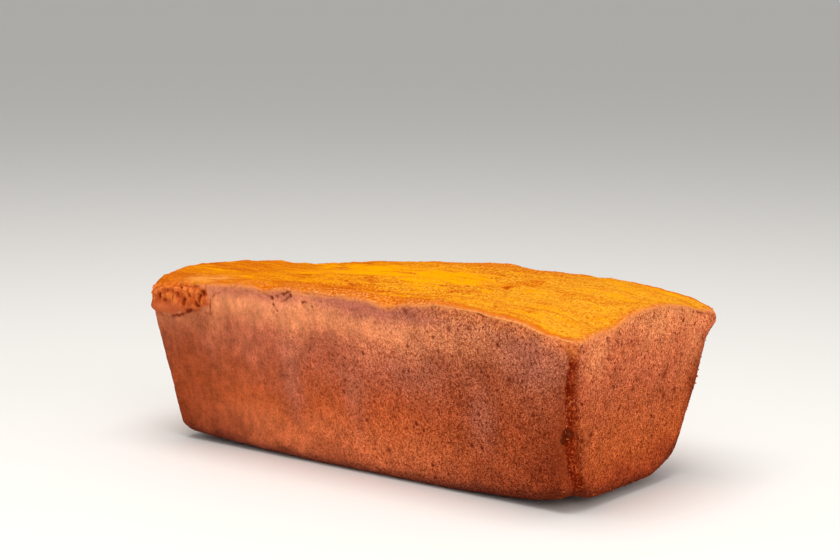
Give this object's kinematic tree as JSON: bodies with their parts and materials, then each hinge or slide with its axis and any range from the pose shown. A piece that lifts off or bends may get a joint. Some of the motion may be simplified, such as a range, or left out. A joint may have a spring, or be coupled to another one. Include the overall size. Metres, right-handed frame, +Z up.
{
  "type": "butter cake",
  "caption": "Whole uncut butter cake loaf with a golden crust on top, browned leaning sides, creased corners and a torn rim at one corner.",
  "frame": {"origin": "on the plane the loaf rests on, under the middle of its outline", "axes": "+Z up from the base to the crust, +X along the loaf towards the end with the deep corner crease, -Y towards the long side whose other corner is torn"},
  "size_m": [0.2082, 0.1036, 0.0741],
  "materials": {
    "baked_crust": "matt, finely porous baked crumb, golden on top and brown on the sides"
  },
  "bodies": {
    "root": {"butter_cake": "baked_crust"}
  },
  "joints": []
}
